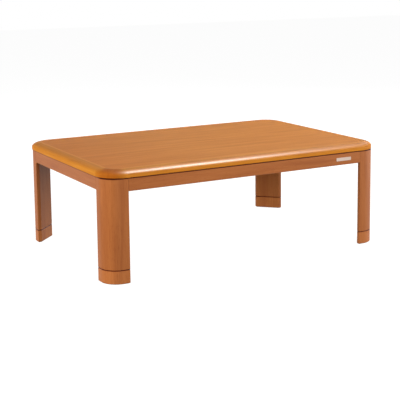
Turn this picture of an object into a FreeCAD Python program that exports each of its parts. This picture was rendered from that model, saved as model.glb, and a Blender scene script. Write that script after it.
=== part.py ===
import FreeCAD, Part
import math
import os

from FreeCAD import Vector

# Kotatsu table: a lift-off top on a low frame, with an electric heater under its middle.
# Millimetres, +Z up. The origin is on the floor under the middle of the tabletop.
# The long sides run along X. The front long side, which carries the badge, faces -Y.

# Tabletop: a board between two sheets, with a solid edging all round
top_length = 1200.0
top_depth = 800.0
top_thickness = 30.0
top_corner_radius = 90.0
table_height = 411.0
edging_width = 40.0
crown_drop = 18.0  # how far the edging's elliptical crown falls from its inner to its outer edge
edging_lower_round = 3.0
edging_lip = 0.6  # the edging's inner edge stands this much above the face sheet
face_thickness = 3.0
backing_thickness = 3.0
tongue_length = 8.0
tongue_thickness = 8.0
joint_clearance = 0.1  # on each side of a tongue or tenon in its groove or mortise

# Frame: four aprons between four legs with round outer corners
top_overhang = 7.5
rest_pad_thickness = 2.0
rest_pad_radius = 10.0
apron_height = 46.5
apron_thickness = 18.0
apron_edge_round = 2.0
apron_end_round = 1.0
leg_reach = 87.5  # from a leg's outer faces to its ends, where the aprons start
leg_corner_radius = 65.0
leg_end_thickness = 14.0  # the leg's width where it meets an apron
leg_edge_round = 2.0
seam_bevel = 1.8  # on both rims of the seam between a leg and its extension

# Leg extensions, bolted up into the legs
extension_height = 49.0
foot_pad_thickness = 1.5
foot_pad_inset = 3.0
foot_rim_bevel = 1.0
extension_bolt_radius = 4.0
extension_head_radius = 6.5
extension_head_height = 5.5
extension_key_width = 5.0
extension_key_depth = 3.0
counterbore_gap = 2.0  # round the bolt's head
counterbore_depth = 14.0
bolt_hole_clearance = 0.5
insert_wall = 2.0
insert_length = 18.0
insert_fit = 0.05
bolt_tip_room = 4.0
locating_dowel_radius = 4.0
locating_dowel_length = 24.0
dowel_fit = 0.05
dowel_spread = 22.0  # from the bolt to each dowel, along the leg's flat inner face

# Corner braces and the hanger bolts that pull the legs into the corners
brace_thickness = 22.0
brace_height = 36.0
brace_drop = 5.0  # below the frame's top
brace_gap = 1.0
hanger_radius = 3.0
hanger_bite = 25.0
hanger_protrusion = 9.0
hanger_spacing = 18.0
hanger_fit = 0.1
nut_width = 10.0
nut_height = 6.5
nut_flange_radius = 7.0
nut_flange_thickness = 1.5
thread_fit = 0.05
brace_screw_radius = 2.0
brace_screw_bite = 12.0
brace_screw_inset = 16.0  # from the apron's end
brace_screw_spacing = 20.0
brace_screw_head_radius = 3.8
brace_screw_head_height = 2.2
screw_pocket_gap = 0.8  # round the screw's head
screw_web = 8.0  # wood left under the pocket, between the head and the apron

# Rails under the tabletop. Four of them leave the square opening for the heater.
heater_opening = 300.0
rail_width = 30.0
rail_height = 24.0
rail_drop = 5.0  # below the frame's top
tenon_length = 10.0
tenon_width = 20.0
tenon_height = 12.0

# Badge on the front apron
badge_length = 70.0
badge_height = 13.0
badge_thickness = 0.8
badge_corner_radius = 3.0
badge_end_gap = 45.5  # from the badge to the apron's right end

# Heater case: a steel pan in the opening, with its flange under the rails and a bezel below
pan_clearance = 4.0
pan_drop = 2.0  # from the rails' top to the pan's top
sheet_thickness = 1.2
pan_corner_radius = 10.0
flange_width = 20.0
bezel_height = 22.0
bezel_opening = 250.0
bezel_corner_radius = 12.0
bezel_edge_bevel = 2.0
reflector_gap = 0.3
vent_inner_radius = 30.0
vent_outer_radius = 56.0
vent_width = 6.0
vent_count = 16
case_screw_radius = 2.0
case_screw_length = 28.0
case_screw_recess = 8.0  # from the bezel's foot to the seat of the screw's head
case_screw_head_radius = 4.0
case_screw_head_height = 2.5
case_screw_offset = 118.0  # from the middle, along the flange

# Reflector: an inverted tray of polished sheet round the fan
reflector_thickness = 0.8
reflector_height = 14.0
reflector_seat = 4.5  # from the bezel's opening out to the reflector's wall
reflector_taper = 7.5  # how far each wall leans in over its height
reflector_corner_radius = 14.0
fan_hole_gap = 6.0

# Quartz tube bent into a U, its element, holders and clip
tube_radius = 6.0
tube_wall = 1.0
element_radius = 3.5
tube_spacing = 124.0
tube_drop = 15.0  # from the reflector's top to the tube's centre
bend_gap = 7.0  # from the tube's bend to the bezel's opening
holder_gap = 8.0  # from the holders to the bezel's opening
holder_length = 18.0
holder_width = 22.0
holder_edge_round = 2.0
holder_grip = 6.0
holder_depth = 26.0
tube_fit = 0.1
clip_fit = 0.4
clip_thickness = 0.8
clip_width = 10.0

# Fan: a motor under the pan, its shaft and its impeller
motor_radius = 23.0
motor_height = 16.0
motor_edge_bevel = 2.0
motor_boss_radius = 6.0
motor_boss_height = 3.0
motor_screw_radius = 1.5
motor_screw_length = 7.0
motor_screw_head_radius = 2.8
motor_screw_head_height = 1.4
motor_screw_distance = 15.0  # from the motor's axis
shaft_radius = 1.5
shaft_fit = 0.05
shaft_tip_room = 2.0
motor_bore_wall = 4.0  # above the shaft's bore
impeller_gap = 0.6  # running gap between the motor's boss and the impeller's hub
impeller_radius = 42.0
impeller_hub_radius = 7.0
impeller_plate = 1.5
impeller_hub_height = 11.0
blade_height = 9.0
blade_thickness = 1.2
blade_inner_radius = 18.0
blade_count = 12
blade_curve_radius = 22.0

# Thermostat, thermal fuse and the leads between them, above the reflector
control_distance = 78.0  # from the middle to the thermostat and to the fuse
thermostat_radius = 9.0
thermostat_height = 5.0
thermostat_bevel = 1.0
fuse_radius = 2.2
fuse_length = 16.0
lead_radius = 1.0
lead_bend_radius = 3.0
lead_height = 2.6
lead_hole_clearance = 0.8

# Guard: two crossed layers of wires, whose ends sit in a groove round the bezel's opening
guard_wire_radius = 1.2
guard_rise = 3.0  # from the bezel's foot to the groove
guard_groove_depth = 3.2
guard_seat_depth = 3.0
guard_groove_fit = 0.05
guard_long_count = 15
guard_cross_count = 5
weld_gap = 0.05

# Cord inlet: a socket with two pins at the back of the bezel
inlet_width = 40.0
inlet_depth = 38.0
inlet_height = 14.0
inlet_wall = 2.5
inlet_cavity_depth = 22.0
inlet_fit = 0.2
inlet_corner_round = 1.5
pin_radius = 1.6
pin_spacing = 16.0
pin_length = 14.0

overrun = 1.0  # how far a cutter runs past the face that it opens

# Heights and half sizes that follow
top_underside = table_height - top_thickness
frame_top = top_underside - rest_pad_thickness
apron_bottom = frame_top - apron_height
seam_height = foot_pad_thickness + extension_height
frame_half_length = top_length / 2 - top_overhang
frame_half_depth = top_depth / 2 - top_overhang
leg_end_x = frame_half_length - leg_reach
leg_end_y = frame_half_depth - leg_reach
corner_x = top_length / 2 - top_corner_radius
corner_y = top_depth / 2 - top_corner_radius
board_corner_radius = top_corner_radius - edging_width
leg_chord = leg_reach - leg_end_thickness
leg_arc_centre = leg_reach - leg_corner_radius
apron_inner = leg_reach - apron_thickness
rail_top = frame_top - rail_drop
rail_bottom = rail_top - rail_height
pan_top = rail_top - pan_drop
pan_half = heater_opening / 2 - pan_clearance
pan_inside_half = pan_half - sheet_thickness
flange_half = pan_half + flange_width
case_screw_place = pan_half + flange_width / 2
bezel_top = rail_bottom - sheet_thickness
bezel_bottom = bezel_top - bezel_height
reflector_top = rail_bottom + reflector_height
reflector_ceiling = reflector_top - reflector_thickness
reflector_base_half = bezel_opening / 2 + reflector_seat
reflector_top_half = reflector_base_half - reflector_taper
reflector_rim_half = pan_inside_half - reflector_gap
fan_hole_radius = impeller_radius + fan_hole_gap
lead_drop_place = (reflector_base_half + pan_inside_half) / 2
tube_z = reflector_top - tube_drop
tube_bend_x = bezel_opening / 2 - bend_gap - tube_radius - tube_spacing / 2
holder_middle = holder_gap + holder_length / 2 - bezel_opening / 2
holder_face = holder_middle + holder_length / 2
tube_end_x = holder_face - holder_grip
motor_top = pan_top - sheet_thickness
motor_bottom = motor_top - motor_height
boss_bottom = motor_bottom - motor_boss_height
counterbore_radius = extension_head_radius + counterbore_gap
counterbore_top = foot_pad_thickness + counterbore_depth
screw_pocket_radius = brace_screw_head_radius + screw_pocket_gap


def box(x_span, y_span, z_span):
    """A box between the two ends of each span."""
    low = Vector(x_span[0], y_span[0], z_span[0])
    return Part.makeBox(x_span[1] - x_span[0], y_span[1] - y_span[0], z_span[1] - z_span[0], low)


def rod(radius, start, end):
    """A round bar between two points."""
    return Part.makeCylinder(radius, (end - start).Length, start, end - start)


def runs_along(direction):
    """A test for the straight edges along a direction."""
    return lambda edge: (
        edge.Curve.TypeId == "Part::GeomLine"
        and math.isclose(abs(edge.Curve.Direction.dot(direction)), 1)
    )


ALONG_X = runs_along(Vector(1, 0, 0))
ALONG_Y = runs_along(Vector(0, 1, 0))
UPRIGHT = runs_along(Vector(0, 0, 1))


def rounded(solid, radius, chosen):
    """The solid with the edges that the test picks rounded."""
    return solid.makeFillet(radius, [edge for edge in solid.Edges if chosen(edge)])


def bevelled(solid, width, chosen):
    """The solid with the edges that the test picks chamfered."""
    return solid.makeChamfer(width, [edge for edge in solid.Edges if chosen(edge)])


def rim_at(height):
    """A test for the edges that lie wholly at one height."""
    return lambda edge: all(math.isclose(v.Z, height) for v in edge.Vertexes) and not UPRIGHT(edge)


def rounded_board(half_length, half_depth, corner_radius, z_low, z_high):
    """A flat board with four round corners."""
    board = box((-half_length, half_length), (-half_depth, half_depth), (z_low, z_high))
    return rounded(board, corner_radius, UPRIGHT)


def prism(points, z_low, z_high):
    """An upright prism on an outline of straight lines."""
    outline = Part.makePolygon([Vector(x, y, z_low) for x, y in points + points[:1]])
    return Part.Face(outline).extrude(Vector(0, 0, z_high - z_low))


def turned(shape, degrees):
    """A copy turned about the middle of the table."""
    copy = shape.copy()
    copy.rotate(Vector(0, 0, 0), Vector(0, 0, 1), degrees)
    return copy


def moved(shape, x, y, z=0):
    """A copy moved by a step."""
    copy = shape.copy()
    copy.translate(Vector(x, y, z))
    return copy


CORNERS = ("back_right", "back_left", "front_left", "front_right")


def at_corner(shape, corner, half_x, half_y):
    """A copy of a piece made in the +X +Y quarter, turned and set at the corner of that name."""
    x = half_x if "right" in corner else -half_x
    y = half_y if "back" in corner else -half_y
    return moved(turned(shape, 90 * CORNERS.index(corner)), x, y)


def at_leg(shape, corner):
    """A copy of a piece made about the corner between a leg's two ends, set at its leg."""
    return at_corner(shape, corner, leg_end_x, leg_end_y)


def at_all_legs(shapes):
    """Copies of some pieces at all four legs, as one group of solids."""
    return Part.makeCompound([at_leg(shape, corner) for corner in CORNERS for shape in shapes])


# Edging

def edging_profile(place):
    """The edging's section. place(w, z) is the point w outward from the board's edge."""
    crown_foot = table_height - crown_drop
    face_edge = place(edging_width, crown_foot)
    ellipse = Part.Ellipse(face_edge, place(0, table_height), place(0, crown_foot))
    crown = Part.Arc(ellipse, 0, math.pi / 2)
    lower = edging_lower_round
    slack = lower * (1 - math.sqrt(0.5))
    round_start = place(edging_width - lower, top_underside)
    round_middle = place(edging_width - slack, top_underside + slack)
    round_end = place(edging_width, top_underside + lower)
    sides = [
        Part.LineSegment(place(0, table_height), place(0, top_underside)),
        Part.LineSegment(place(0, top_underside), round_start),
        Part.Arc(round_start, round_middle, round_end),
        Part.LineSegment(round_end, face_edge),
    ]
    return Part.Face(Part.Wire(Part.__sortEdges__([g.toShape() for g in [crown] + sides])))


def core_heights():
    """The lowest and highest level of the core board."""
    return top_underside + backing_thickness, table_height - edging_lip - face_thickness


def tongue_heights(clearance):
    """The lowest and highest level of the tongue, or of its groove with a clearance."""
    middle = sum(core_heights()) / 2
    half = tongue_thickness / 2 + clearance
    return middle - half, middle + half


def edging_strip(half_length, board_half):
    """A straight edging strip along the +Y side, grooved for the board's tongue."""
    profile = edging_profile(lambda w, z: Vector(-half_length, board_half + w, z))
    strip = profile.extrude(Vector(2 * half_length, 0, 0))
    groove_depth = tongue_length + joint_clearance
    groove = box(
        (-half_length - overrun, half_length + overrun),
        (board_half - overrun, board_half + groove_depth),
        tongue_heights(joint_clearance),
    )
    return strip.cut(groove)


def edging_corner():
    """A quarter ring of edging about its corner's centre, in the +X +Y quarter."""
    profile = edging_profile(lambda w, z: Vector(board_corner_radius + w, 0, z))
    ring = profile.revolve(Vector(0, 0, 0), Vector(0, 0, 1), 90)
    low, high = tongue_heights(joint_clearance)
    groove_radius = board_corner_radius + tongue_length + joint_clearance
    return ring.cut(Part.makeCylinder(groove_radius, high - low, Vector(0, 0, low)))


def core_board():
    """The board that carries the sheets, with a tongue all round for the edging."""
    half_length = top_length / 2 - edging_width
    half_depth = top_depth / 2 - edging_width
    low, high = core_heights()
    board = rounded_board(half_length, half_depth, board_corner_radius, low, high)
    tongue = rounded_board(
        half_length + tongue_length,
        half_depth + tongue_length,
        board_corner_radius + tongue_length,
        *tongue_heights(0),
    )
    return board.fuse(tongue).removeSplitter()


def tabletop():
    """All pieces of the lift-off top."""
    half_length = top_length / 2 - edging_width
    half_depth = top_depth / 2 - edging_width
    core_low, core_high = core_heights()
    long_strip = edging_strip(corner_x, half_depth)
    short_strip = edging_strip(corner_y, half_length)
    parts = {
        "top_core": core_board(),
        "top_face": rounded_board(
            half_length, half_depth, board_corner_radius, core_high, core_high + face_thickness
        ),
        "top_backing": rounded_board(
            half_length, half_depth, board_corner_radius, top_underside, core_low
        ),
        "back_edging": long_strip,
        "left_edging": turned(short_strip, 90),
        "front_edging": turned(long_strip, 180),
        "right_edging": turned(short_strip, 270),
    }
    for corner in CORNERS:
        parts[corner + "_corner_edging"] = at_corner(edging_corner(), corner, corner_x, corner_y)
    return parts


# Legs. Each is made in the +X +Y quarter, with its two ends on the axes.

def leg_face(inset, height):
    """The leg's section: two outer faces joined by an arc, two short ends, a flat inner face."""
    face = leg_reach - inset
    inner_end = leg_chord + (math.sqrt(2) - 1) * inset
    centre = leg_arc_centre
    middle = centre + (leg_corner_radius - inset) * math.sqrt(0.5)
    corners = [(centre, face), (inset, face), (inset, inner_end), (inner_end, inset), (face, inset)]
    corners.append((face, centre))
    points = [Vector(x, y, height) for x, y in corners]
    arc = Part.Arc(points[-1], Vector(middle, middle, height), points[0])
    return Part.Face(Part.Wire([arc.toShape()] + Part.makePolygon(points).Edges))


def leg_prism(z_low, z_high):
    """A length of the leg's section with its four long edges eased."""
    column = leg_face(0, z_low).extrude(Vector(0, 0, z_high - z_low))
    return rounded(column, leg_edge_round, UPRIGHT)


def on_diagonal(distance, sideways=0, height=0):
    """A point on a leg's diagonal, or beside it, at a distance from where its ends would meet."""
    half = math.sqrt(0.5)
    return Vector((distance + sideways) * half, (distance - sideways) * half, height)


def leg_middle():
    """Where the leg is thickest: the distance of its middle along the diagonal."""
    outer_distance = leg_arc_centre * math.sqrt(2) + leg_corner_radius
    return (leg_chord * math.sqrt(0.5) + outer_distance) / 2


def hanger_levels():
    """The heights of a corner's two hanger bolts."""
    middle = frame_top - brace_drop - brace_height / 2
    return middle - hanger_spacing / 2, middle + hanger_spacing / 2


def upright_bar(radius, place, z_low, z_high):
    """A round upright bar at a place on the diagonal."""
    return Part.makeCylinder(radius, z_high - z_low, Vector(place.x, place.y, z_low))


def locating_dowels(radius, half_length):
    """The two dowels that keep an extension from turning, or their holes."""
    places = [on_diagonal(leg_middle(), side * dowel_spread) for side in (-1, 1)]
    z_span = (seam_height - half_length, seam_height + half_length)
    return [upright_bar(radius, place, *z_span) for place in places]


def leg():
    """A leg with its insert hole, dowel holes and hanger bolt holes."""
    body = leg_prism(seam_height, frame_top)
    body = bevelled(body, seam_bevel, rim_at(seam_height))
    insert_radius = extension_bolt_radius + insert_wall + insert_fit
    hole_top = seam_height + insert_length + bolt_tip_room
    cutters = [
        upright_bar(insert_radius, on_diagonal(leg_middle()), seam_height - overrun, hole_top)
    ]
    dowel_room = locating_dowel_length / 2 + dowel_fit
    cutters += locating_dowels(locating_dowel_radius + dowel_fit, dowel_room)
    chord_distance = leg_chord * math.sqrt(0.5)
    for level in hanger_levels():
        start = on_diagonal(chord_distance - overrun, 0, level)
        end = on_diagonal(chord_distance + hanger_bite + hanger_fit, 0, level)
        cutters.append(rod(hanger_radius + hanger_fit, start, end))
    return body.cut(cutters)


def extension():
    """A leg extension with its counterbored bolt hole and dowel holes."""
    body = leg_prism(foot_pad_thickness, seam_height)
    body = bevelled(body, seam_bevel, rim_at(seam_height))
    body = bevelled(body, foot_rim_bevel, rim_at(foot_pad_thickness))
    place = on_diagonal(leg_middle())
    below = foot_pad_thickness - overrun
    bolt_hole_radius = extension_bolt_radius + bolt_hole_clearance
    cutters = [
        upright_bar(counterbore_radius, place, below, counterbore_top),
        upright_bar(bolt_hole_radius, place, below, seam_height + overrun),
    ]
    dowel_room = locating_dowel_length / 2 + dowel_fit
    cutters += locating_dowels(locating_dowel_radius + dowel_fit, dowel_room)
    return body.cut(cutters)


def foot_pad():
    """The felt pad under an extension, open under the bolt."""
    pad = leg_face(foot_pad_inset, 0).extrude(Vector(0, 0, foot_pad_thickness))
    place = on_diagonal(leg_middle())
    hole = upright_bar(counterbore_radius, place, -overrun, foot_pad_thickness + overrun)
    return pad.cut(hole)


def hexagon(width, centre, along):
    """A hexagonal outline across a direction, by its width across flats."""
    corner_distance = width / math.sqrt(3)
    turns = [step * math.pi / 3 for step in range(7)]
    corners = [Vector(math.cos(turn), math.sin(turn), 0) * corner_distance for turn in turns]
    outline = Part.makePolygon(corners)
    outline.Placement = FreeCAD.Placement(centre, FreeCAD.Rotation(Vector(0, 0, 1), along))
    return outline


def hexagonal_bar(width, centre, along, height):
    """A hexagonal bar from a centre along a direction, by its width across flats."""
    return Part.Face(hexagon(width, centre, along)).extrude(along * height)


def extension_bolt():
    """The bolt that holds an extension, head in the counterbore."""
    place = on_diagonal(leg_middle())
    head_foot = counterbore_top - extension_head_height
    head = upright_bar(extension_head_radius, place, head_foot, counterbore_top)
    socket_foot = Vector(place.x, place.y, head_foot - overrun)
    socket_length = extension_key_depth + overrun
    socket = hexagonal_bar(extension_key_width, socket_foot, Vector(0, 0, 1), socket_length)
    shank = upright_bar(extension_bolt_radius, place, counterbore_top, seam_height + insert_length)
    return head.cut(socket).fuse(shank).removeSplitter()


def threaded_insert():
    """The metal insert in a leg's foot."""
    place = on_diagonal(leg_middle())
    span = (seam_height, seam_height + insert_length)
    shell = upright_bar(extension_bolt_radius + insert_wall, place, *span)
    bore = upright_bar(extension_bolt_radius + thread_fit, place, span[0] - overrun, span[1] + overrun)
    return shell.cut(bore)


# Corner braces

def brace_faces():
    """x + y on the brace's outer and inner face, from where the leg's ends would meet."""
    outer = leg_chord - brace_gap * math.sqrt(2)
    return outer, outer - brace_thickness * math.sqrt(2)


def brace_screw_parts(radius, head_radius, head_start):
    """Round bars for the screw at each end of a brace, each as (shank, head)."""
    tip = apron_inner + brace_screw_bite
    seat = apron_inner - screw_web
    middle = frame_top - brace_drop - brace_height / 2
    low, high = middle - brace_screw_spacing / 2, middle + brace_screw_spacing / 2
    stops = (head_start, seat, tip)
    bars = []
    for start, web, end in (
        [Vector(-brace_screw_inset, y, low) for y in stops],
        [Vector(x, -brace_screw_inset, high) for x in stops],
    ):
        bars.append((rod(radius, web, end), rod(head_radius, start, web)))
    return bars


def brace_screw_holes():
    """Holes for the brace screws, with the pocket that takes each head."""
    inner = brace_faces()[1]
    pocket_start = inner + brace_screw_inset - 2 * screw_pocket_radius
    holes = brace_screw_parts(brace_screw_radius + thread_fit, screw_pocket_radius, pocket_start)
    return [bar for pair in holes for bar in pair]


def brace():
    """The block across a corner, with a pocket screw into each apron."""
    outer, inner = brace_faces()
    wall = apron_inner
    points = [(outer - wall, wall), (wall, outer - wall), (wall, inner - wall), (inner - wall, wall)]
    high = frame_top - brace_drop
    block = prism(points, high - brace_height, high)
    cutters = brace_screw_holes()
    for level in hanger_levels():
        start = on_diagonal(inner * math.sqrt(0.5) - overrun, 0, level)
        end = on_diagonal(outer * math.sqrt(0.5) + overrun, 0, level)
        cutters.append(rod(hanger_radius + bolt_hole_clearance, start, end))
    return block.cut(cutters)


def brace_screws():
    """A corner's two pocket screws."""
    seat = apron_inner - screw_web
    bars = brace_screw_parts(brace_screw_radius, brace_screw_head_radius, seat - brace_screw_head_height)
    return [shank.fuse(head).removeSplitter() for shank, head in bars]


def hanger_bolts():
    """A corner's two hanger bolts, screwed into the leg and through the brace."""
    start_distance = brace_faces()[1] * math.sqrt(0.5) - hanger_protrusion
    end_distance = leg_chord * math.sqrt(0.5) + hanger_bite
    return [
        rod(hanger_radius, on_diagonal(start_distance, 0, level), on_diagonal(end_distance, 0, level))
        for level in hanger_levels()
    ]


def flange_nuts():
    """The nuts that pull a leg home, each with its flange on the brace's inner face."""
    inner_distance = brace_faces()[1] * math.sqrt(0.5)
    inward = on_diagonal(-1)
    nuts = []
    for level in hanger_levels():
        face = on_diagonal(inner_distance, 0, level)
        end = face + inward * nut_height
        flange = rod(nut_flange_radius, face, face + inward * nut_flange_thickness)
        hole = rod(hanger_radius + thread_fit, face - inward * overrun, end + inward * overrun)
        nut = hexagonal_bar(nut_width, face, inward, nut_height).fuse(flange).removeSplitter()
        nuts.append(nut.cut(hole))
    return nuts


# Rails

def tenons_along_x(x_low, x_high, y, clearance):
    """The two tenons of a bar and what lies between them, or their mortise cutter."""
    reach = tenon_length + clearance
    half_width = tenon_width / 2 + clearance
    middle = (rail_top + rail_bottom) / 2
    half_height = tenon_height / 2 + clearance
    return box(
        (x_low - reach, x_high + reach),
        (y - half_width, y + half_width),
        (middle - half_height, middle + half_height),
    )


def bar_along_x(x_low, x_high, y):
    """A rail along X with a stub tenon at each end."""
    bar = box((x_low, x_high), (y - rail_width / 2, y + rail_width / 2), (rail_bottom, rail_top))
    return bar.fuse(tenons_along_x(x_low, x_high, y, 0)).removeSplitter()


def rails_and_aprons():
    """The aprons and the rails between them, joined by stub tenons."""
    inner_x = frame_half_length - apron_thickness
    inner_y = frame_half_depth - apron_thickness
    rail_middle = heater_opening / 2 + rail_width / 2
    rail_outer = heater_opening / 2 + rail_width
    half_opening = heater_opening / 2
    cross_ends = (-inner_y, inner_y, -rail_middle)
    heater_ends = [(-half_opening, half_opening, side * rail_middle) for side in (-1, 1)]
    slat_ends = [(rail_outer, inner_x, 0), (-inner_x, -rail_outer, 0)]
    cross_rail = turned(bar_along_x(*cross_ends), 90)
    cross_mortise = turned(tenons_along_x(*cross_ends, joint_clearance), 90)
    cross_mortises = [cross_mortise, turned(cross_mortise, 180)]
    across_mortises = [tenons_along_x(*ends, joint_clearance) for ends in heater_ends + slat_ends]
    back = apron(leg_end_x, frame_half_depth).cut(cross_mortises)
    side = turned(apron(leg_end_y, frame_half_length), 90).cut(across_mortises)
    screw_holes = case_screw_bars(
        case_screw_radius + thread_fit,
        rail_bottom - overrun,
        bezel_bottom + case_screw_recess + case_screw_length,
    )
    right_rail = turned(cross_rail, 180).cut(across_mortises + screw_holes)
    corner_holes = [at_leg(hole, corner) for hole in brace_screw_holes() for corner in CORNERS]
    back = back.cut(corner_holes)
    side = side.cut(corner_holes)
    return {
        "front_apron": turned(back, 180),
        "back_apron": back,
        "left_apron": side,
        "right_apron": turned(side, 180),
        "left_cross_rail": turned(right_rail, 180),
        "right_cross_rail": right_rail,
        "front_heater_rail": bar_along_x(*heater_ends[0]),
        "back_heater_rail": bar_along_x(*heater_ends[1]),
        "left_slat": bar_along_x(*slat_ends[1]),
        "right_slat": bar_along_x(*slat_ends[0]),
    }


def apron(half_length, outer_face):
    """An apron along the +Y side between two legs, with eased edges."""
    bar = box(
        (-half_length, half_length),
        (outer_face - apron_thickness, outer_face),
        (apron_bottom, frame_top),
    )
    ends = [e for e in bar.Edges if UPRIGHT(e) and math.isclose(e.CenterOfMass.y, outer_face)]
    bar = bar.makeFillet(apron_end_round, ends)
    return rounded(bar, apron_edge_round, lambda e: ALONG_X(e) and rim_at(apron_bottom)(e))


def rest_pad():
    """A round rubber pad on a leg's top, which the tabletop rests on."""
    place = on_diagonal(leg_middle())
    return upright_bar(rest_pad_radius, place, frame_top, top_underside)


def badge():
    """The bare plate near the right end of the front apron."""
    right = leg_end_x - badge_end_gap
    middle = (frame_top + apron_bottom) / 2
    plate = box(
        (right - badge_length, right),
        (-frame_half_depth - badge_thickness, -frame_half_depth),
        (middle - badge_height / 2, middle + badge_height / 2),
    )
    return rounded(plate, badge_corner_radius, ALONG_Y)


# Heater case

def ring(outer_half, inner_half, outer_radius, inner_radius, z_low, z_high):
    """A flat square ring with round corners."""
    outer = rounded_board(outer_half, outer_half, outer_radius, z_low, z_high)
    inner = rounded_board(inner_half, inner_half, inner_radius, z_low - overrun, z_high + overrun)
    return outer.cut(inner)


def case_screw_axes():
    """The four places of the screws that hold the heater under the rails."""
    side, offset = case_screw_place, case_screw_offset
    return [(x, y) for x in (-side, side) for y in (-offset, offset)]


def case_screw_bars(radius, z_low, z_high):
    """Round upright bars at the case screws' places."""
    return [
        Part.makeCylinder(radius, z_high - z_low, Vector(x, y, z_low)) for x, y in case_screw_axes()
    ]


def heater_pan():
    """The steel pan with its flange, vent slots and screw holes."""
    block = rounded_board(pan_half, pan_half, pan_corner_radius, bezel_top, pan_top)
    flange = rounded_board(flange_half, flange_half, pan_corner_radius, bezel_top, rail_bottom)
    pan = block.fuse(flange).removeSplitter()
    hollow = rounded_board(
        pan_inside_half,
        pan_inside_half,
        pan_corner_radius - sheet_thickness,
        bezel_top - overrun,
        motor_top,
    )
    screw_hole = case_screw_radius + bolt_hole_clearance
    cutters = [hollow] + case_screw_bars(screw_hole, bezel_top - overrun, rail_bottom + overrun)
    screw_hole = motor_screw_radius + thread_fit
    cutters += motor_screw_bars(screw_hole, motor_top - overrun, pan_top + overrun)
    for step in range(vent_count):
        slot = box(
            (vent_inner_radius, vent_outer_radius),
            (-vent_width / 2, vent_width / 2),
            (motor_top - overrun, pan_top + overrun),
        )
        cutters.append(turned(slot, (step + 0.5) * 360 / vent_count))
    return pan.cut(cutters)


def inlet_spans():
    """The inlet's front and back along Y, and its lowest and highest level."""
    front = pan_half + inlet_wall
    return front, front + inlet_depth, bezel_top - inlet_height, bezel_top


def inlet_notch():
    """The notch in the bezel's back that takes the inlet and lets its leads in."""
    front, back, low, high = inlet_spans()
    half = inlet_width / 2 + inlet_fit
    notch = box((-half, half), (front - inlet_fit, back), (low - inlet_fit, high + overrun))
    slot_half = lead_radius + lead_hole_clearance
    cutters = [notch]
    for x in (-pin_spacing / 2, pin_spacing / 2):
        cutters.append(
            box(
                (x - slot_half, x + slot_half),
                (lead_drop_place - slot_half, front),
                ((low + high) / 2 - slot_half, rail_bottom + overrun),
            )
        )
    return cutters


def heater_bezel():
    """The moulded frame under the flange, grooved for the guard wires."""
    opening_half = bezel_opening / 2
    radius = bezel_corner_radius
    body = rounded_board(flange_half, flange_half, radius, bezel_bottom, bezel_top)
    body = bevelled(body, bezel_edge_bevel, rim_at(bezel_bottom))
    ledge = rounded_board(reflector_rim_half, reflector_rim_half, radius, bezel_top, rail_bottom)
    body = body.fuse(ledge).removeSplitter()
    below, above = bezel_bottom - overrun, rail_bottom + overrun
    opening = rounded_board(opening_half, opening_half, radius, below, above)
    groove_half = opening_half + guard_groove_depth
    groove = rounded_board(groove_half, groove_half, radius + guard_groove_depth, *guard_groove_span())
    recess_top = bezel_bottom + case_screw_recess
    cutters = [opening, groove] + inlet_notch()
    cutters += case_screw_bars(case_screw_radius + bolt_hole_clearance, below, above)
    cutters += case_screw_bars(case_screw_head_radius + bolt_hole_clearance, below, recess_top)
    return body.cut(cutters)


def case_screws():
    """The four screws up through bezel and flange into the cross rails."""
    seat = bezel_bottom + case_screw_recess
    shanks = case_screw_bars(case_screw_radius, seat, seat + case_screw_length)
    heads = case_screw_bars(case_screw_head_radius, seat - case_screw_head_height, seat)
    return Part.makeCompound([shank.fuse(head).removeSplitter() for shank, head in zip(shanks, heads)])


def square_outline(half, corner_radius, z):
    """A level square outline with round corners."""
    board = rounded_board(half, half, corner_radius, z, z + overrun)
    return min(board.Faces, key=lambda face: face.CenterOfMass.z).OuterWire


def frustum(base_half, top_half, corner_radius, z_low, z_high):
    """A square block with round corners that narrows upward."""
    base = square_outline(base_half, corner_radius, z_low)
    top = square_outline(top_half, corner_radius, z_high)
    return Part.makeLoft([base, top], True, True)


def reflector():
    """The inverted tray above the tube, open in the middle for the fan."""
    sheet = reflector_thickness
    radius = reflector_corner_radius
    outer = frustum(reflector_base_half, reflector_top_half, radius, rail_bottom, reflector_top)
    inner = frustum(
        reflector_base_half - sheet,
        reflector_top_half - sheet,
        radius - sheet,
        rail_bottom,
        reflector_ceiling,
    )
    rim = ring(
        reflector_rim_half,
        reflector_base_half - sheet,
        radius,
        radius - sheet,
        rail_bottom,
        rail_bottom + sheet,
    )
    tray = outer.fuse(rim).removeSplitter().cut(inner)
    depth = sheet + 2 * overrun
    lead_hole = lead_radius + lead_hole_clearance
    below = reflector_ceiling - overrun
    cutters = [Part.makeCylinder(fan_hole_radius, depth, Vector(0, 0, below))]
    for y in (-tube_spacing / 2, tube_spacing / 2):
        cutters.append(Part.makeCylinder(lead_hole, depth, Vector(holder_middle, y, below)))
    for x in (-pin_spacing / 2, pin_spacing / 2):
        place = Vector(x, lead_drop_place, rail_bottom - overrun)
        cutters.append(Part.makeCylinder(lead_hole, depth, place))
    return tray.cut(cutters)


# Heating tube

def tube_run(outer_radius, inner_radius):
    """A U of round section: two straight arms and a half turn."""
    arms_y = tube_spacing / 2
    start = Vector(tube_bend_x, arms_y, tube_z)
    section = Part.Face(Part.Wire(Part.makeCircle(outer_radius, start, Vector(1, 0, 0))))
    if inner_radius:
        hole = Part.Face(Part.Wire(Part.makeCircle(inner_radius, start, Vector(1, 0, 0))))
        section = section.cut(hole).Faces[0]
    arm = section.extrude(Vector(tube_end_x - tube_bend_x, 0, 0))
    other_arm = moved(arm, 0, -tube_spacing)
    bend = section.revolve(Vector(tube_bend_x, 0, tube_z), Vector(0, 0, -1), 180)
    return arm.fuse([bend, other_arm]).removeSplitter()


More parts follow.
